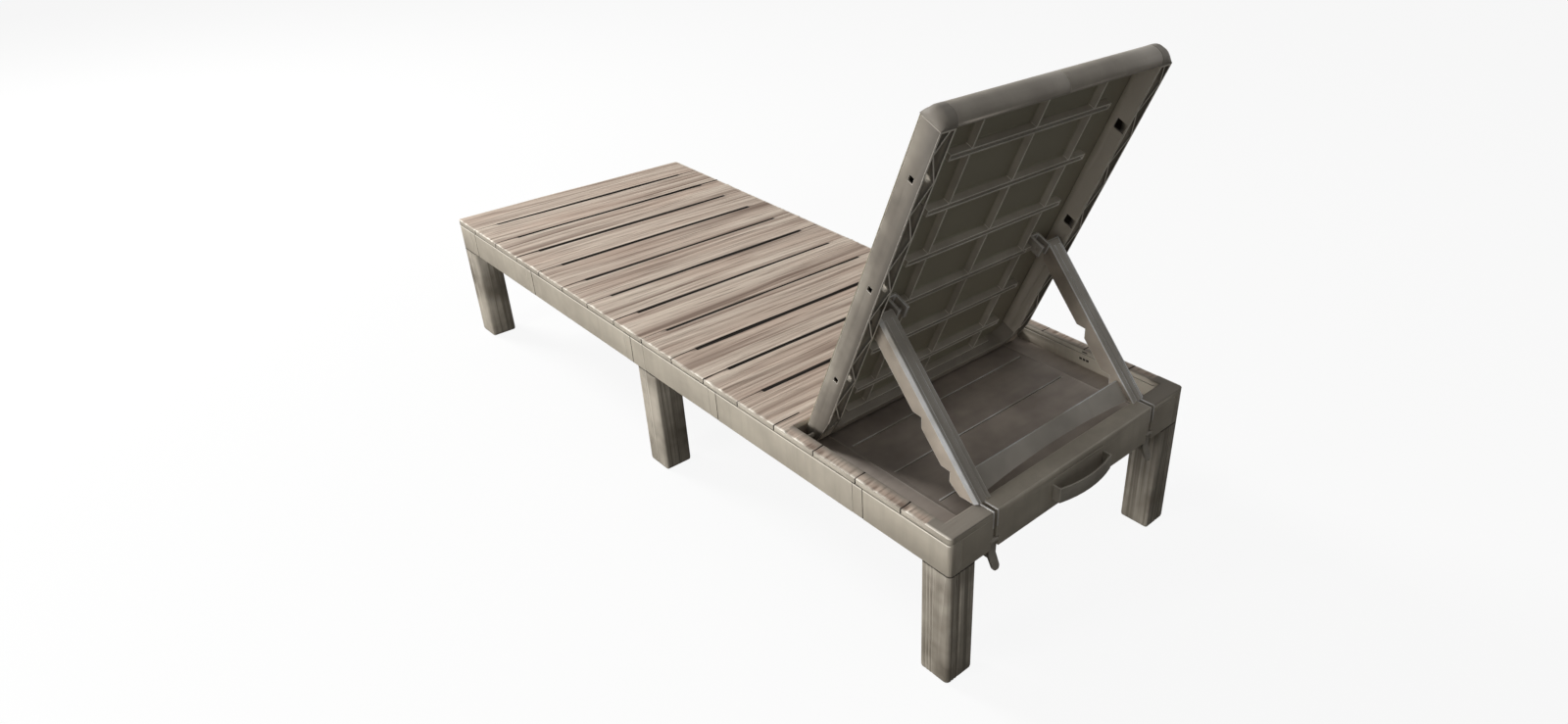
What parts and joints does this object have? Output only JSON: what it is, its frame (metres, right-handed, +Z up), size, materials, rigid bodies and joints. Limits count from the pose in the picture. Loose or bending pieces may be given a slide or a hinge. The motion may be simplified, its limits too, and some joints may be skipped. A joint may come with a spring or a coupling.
{
  "type": "sun lounger",
  "caption": "Moulded plastic sun lounger with a slatted deck on legs, a hinged backrest held up by a folding prop, a carry handle and two hanging latches.",
  "frame": {"origin": "on the floor below the middle of the bounding box at the pictured backrest position", "axes": "+Z up, +Y towards the head end (the end with the backrest and the carry handle), +X to the right seen from the foot end"},
  "size_m": [0.6, 1.6482, 0.8874],
  "materials": {
    "deck": "wood-look moulded grain",
    "frame": "fine grain",
    "legs": "fine grain with flutes",
    "tray": "smooth matt",
    "backrest": "wood-look front, smooth ribbed back",
    "prop": "smooth matt",
    "small_parts": "smooth matt"
  },
  "bodies": {
    "base": {"backrest_hinge_pin_left": "small_parts", "backrest_hinge_pin_right": "small_parts", "carry_handle": "small_parts", "foot_corner_block_left": "frame", "foot_corner_block_right": "frame", "foot_deck_panel": "deck", "foot_end_rail": "frame", "foot_leg_left": "legs", "foot_leg_right": "legs", "foot_side_clip_left_1": "frame", "foot_side_clip_left_2": "frame", "foot_side_clip_left_3": "frame", "foot_side_clip_right_1": "frame", "foot_side_clip_right_2": "frame", "foot_side_clip_right_3": "frame", "foot_side_rail_left": "frame", "foot_side_rail_right": "frame", "head_corner_block_left": "frame", "head_corner_block_right": "frame", "head_deck_panel": "deck", "head_end_rail": "frame", "head_leg_left": "legs", "head_leg_right": "legs", "head_side_clip_left_1": "frame", "head_side_clip_left_2": "frame", "head_side_clip_right_1": "frame", "head_side_clip_right_2": "frame", "head_side_rail_left": "frame", "head_side_rail_right": "frame", "latch_pin_left": "small_parts", "latch_pin_right": "small_parts", "middle_connector_left": "frame", "middle_connector_right": "frame", "middle_leg_left": "legs", "middle_leg_right": "legs", "tray_floor": "tray", "tray_front_wall": "tray"},
    "backrest": {"backrest_bottom_rail": "backrest", "backrest_panel": "backrest", "backrest_side_box_left": "backrest", "backrest_side_box_right": "backrest", "backrest_top_corner_left": "backrest", "backrest_top_corner_right": "backrest", "backrest_top_rail_left": "backrest", "backrest_top_rail_right": "backrest", "prop_bracket_left": "prop", "prop_bracket_right": "prop", "prop_pin_left": "small_parts", "prop_pin_right": "small_parts"},
    "prop": {"prop_arm_left": "prop", "prop_arm_right": "prop", "prop_brace": "prop"},
    "latch_left": {"latch_left": "small_parts"},
    "latch_right": {"latch_right": "small_parts"}
  },
  "joints": [
    {"name": "backrest_recline", "type": "hinge", "parent": "base", "child": "backrest", "pos_m": [0, 0.43376, 0.2746], "axis": [1, 0, 0], "range_deg": [-56.95, 0]},
    {"name": "prop_fold", "type": "hinge", "parent": "backrest", "child": "prop", "pos_m": [0, 0.55402, 0.52504], "axis": [1, 0, 0], "range_deg": [0, 114.12]},
    {"name": "latch_left_swing", "type": "hinge", "parent": "base", "child": "latch_left", "pos_m": [-0.2035, 0.7941, 0.2363], "axis": [1, 0, 0], "range_deg": [-8, 80]},
    {"name": "latch_right_swing", "type": "hinge", "parent": "base", "child": "latch_right", "pos_m": [0.2035, 0.7941, 0.2363], "axis": [1, 0, 0], "range_deg": [-8, 80]}
  ],
  "couplings": [
    {"joint": "prop_fold", "follows": "backrest_recline", "ratio": -2.0035}
  ]
}
